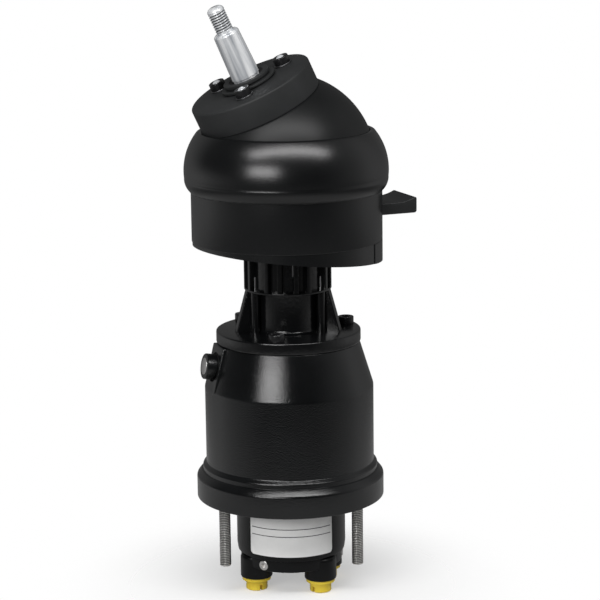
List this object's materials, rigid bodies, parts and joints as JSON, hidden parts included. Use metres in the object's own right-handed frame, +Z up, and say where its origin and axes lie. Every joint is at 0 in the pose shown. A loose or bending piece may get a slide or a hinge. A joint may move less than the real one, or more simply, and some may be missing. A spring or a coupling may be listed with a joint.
{
  "type": "hydraulic helm pump",
  "caption": "Hydraulic steering helm pump with a round reservoir, stud-mounted flange, ribbed neck and a tilting domed head with a keyed wheel shaft, lever-released.",
  "frame": {"origin": "centre of the underside of the mounting flange", "axes": "+Z up the pump axis towards the wheel, -Y the side with the rating label, +X to the right of it"},
  "size_m": [0.1624, 0.142, 0.4159],
  "materials": {
    "satin_black_paint": "satin black paint",
    "gloss_black_paint": "gloss black paint",
    "matte_black_plastic": "fine grained",
    "satin_black_plastic": "satin",
    "black_steel": "blackened",
    "steel": "machined",
    "bright_steel": "bright zinc",
    "bronze": "plain",
    "black_rubber": "matt",
    "yellow_plastic": "moulded",
    "white_plastic": "plain"
  },
  "bodies": {
    "pump_body": {"pump_housing": "satin_black_paint", "filler_plug": "satin_black_plastic", "filler_seal": "black_rubber", "mounting_studs": "steel", "pump_block": "gloss_black_paint", "block_seal": "black_rubber", "block_screws": "steel", "end_cap": "gloss_black_paint", "cap_screws": "steel", "side_plugs": "bright_steel", "port_plug_left": "yellow_plastic", "port_plug_right": "yellow_plastic", "port_plug_rear": "yellow_plastic", "valve_plug": "bright_steel", "rating_label": "white_plastic", "valve_plate": "bronze", "swash_plate": "steel", "swash_screws": "steel", "housing_bush": "bronze", "shaft_seal": "black_rubber", "adapter_flange": "gloss_black_paint", "adapter_bolts": "black_steel", "neck_tube": "gloss_black_paint", "neck_screws": "steel", "neck_bush": "white_plastic", "tilt_base": "satin_black_plastic", "base_screws": "steel", "pivot_pins": "steel", "bezel_cover": "satin_black_plastic", "cover_screws": "steel", "lever_pin": "steel", "lever_spring": "steel"},
    "tilt_head": {"tilt_yoke": "steel", "dome_cover": "matte_black_plastic", "hub_housing": "matte_black_plastic", "hub_screws": "black_steel", "hub_washers": "bright_steel", "seal_retainer": "matte_black_plastic", "hub_seal": "black_rubber", "bearing_outer_ring": "steel", "head_bush": "bronze"},
    "wheel_shaft": {"steering_shaft": "bright_steel", "bearing_inner_ring": "steel", "retaining_ring": "steel", "trunnion_pin": "steel"},
    "ball_set": {"bearing_balls": "bright_steel", "bearing_cage": "bronze"},
    "drive_shaft": {"pump_shaft": "steel", "rotor": "steel", "pistons": "steel", "coupling_sleeve": "steel", "coupling_pins": "steel", "joint_shaft": "steel"},
    "tilt_lever": {"tilt_lever": "satin_black_plastic"}
  },
  "joints": [
    {"name": "drive_turn", "type": "hinge", "parent": "pump_body", "child": "drive_shaft", "pos_m": [0, 0, 0], "axis": [0, 0, 1], "continuous": true},
    {"name": "tilt", "type": "hinge", "parent": "pump_body", "child": "tilt_head", "pos_m": [0, 0, 0.2364], "axis": [-0.3746, 0.9272, 0], "range_deg": [0, 50]},
    {"name": "wheel_turn", "type": "hinge", "parent": "tilt_head", "child": "wheel_shaft", "pos_m": [0, 0, 0.2364], "axis": [-0.3918, -0.1583, 0.9063], "continuous": true},
    {"name": "ball_roll", "type": "hinge", "parent": "tilt_head", "child": "ball_set", "pos_m": [0, 0, 0.2364], "axis": [-0.3918, -0.1583, 0.9063], "continuous": true},
    {"name": "lever_lift", "type": "hinge", "parent": "pump_body", "child": "tilt_lever", "pos_m": [0.05192, 0.02098, 0.19], "axis": [0.3746, -0.9272, 0], "range_deg": [0, 8], "stiffness_Nm_per_rad": 0.4, "springref_deg": -8.59}
  ],
  "couplings": [
    {"joint": "wheel_turn", "follows": "drive_turn", "ratio": 1},
    {"joint": "ball_roll", "follows": "drive_turn", "ratio": 0.384}
  ]
}
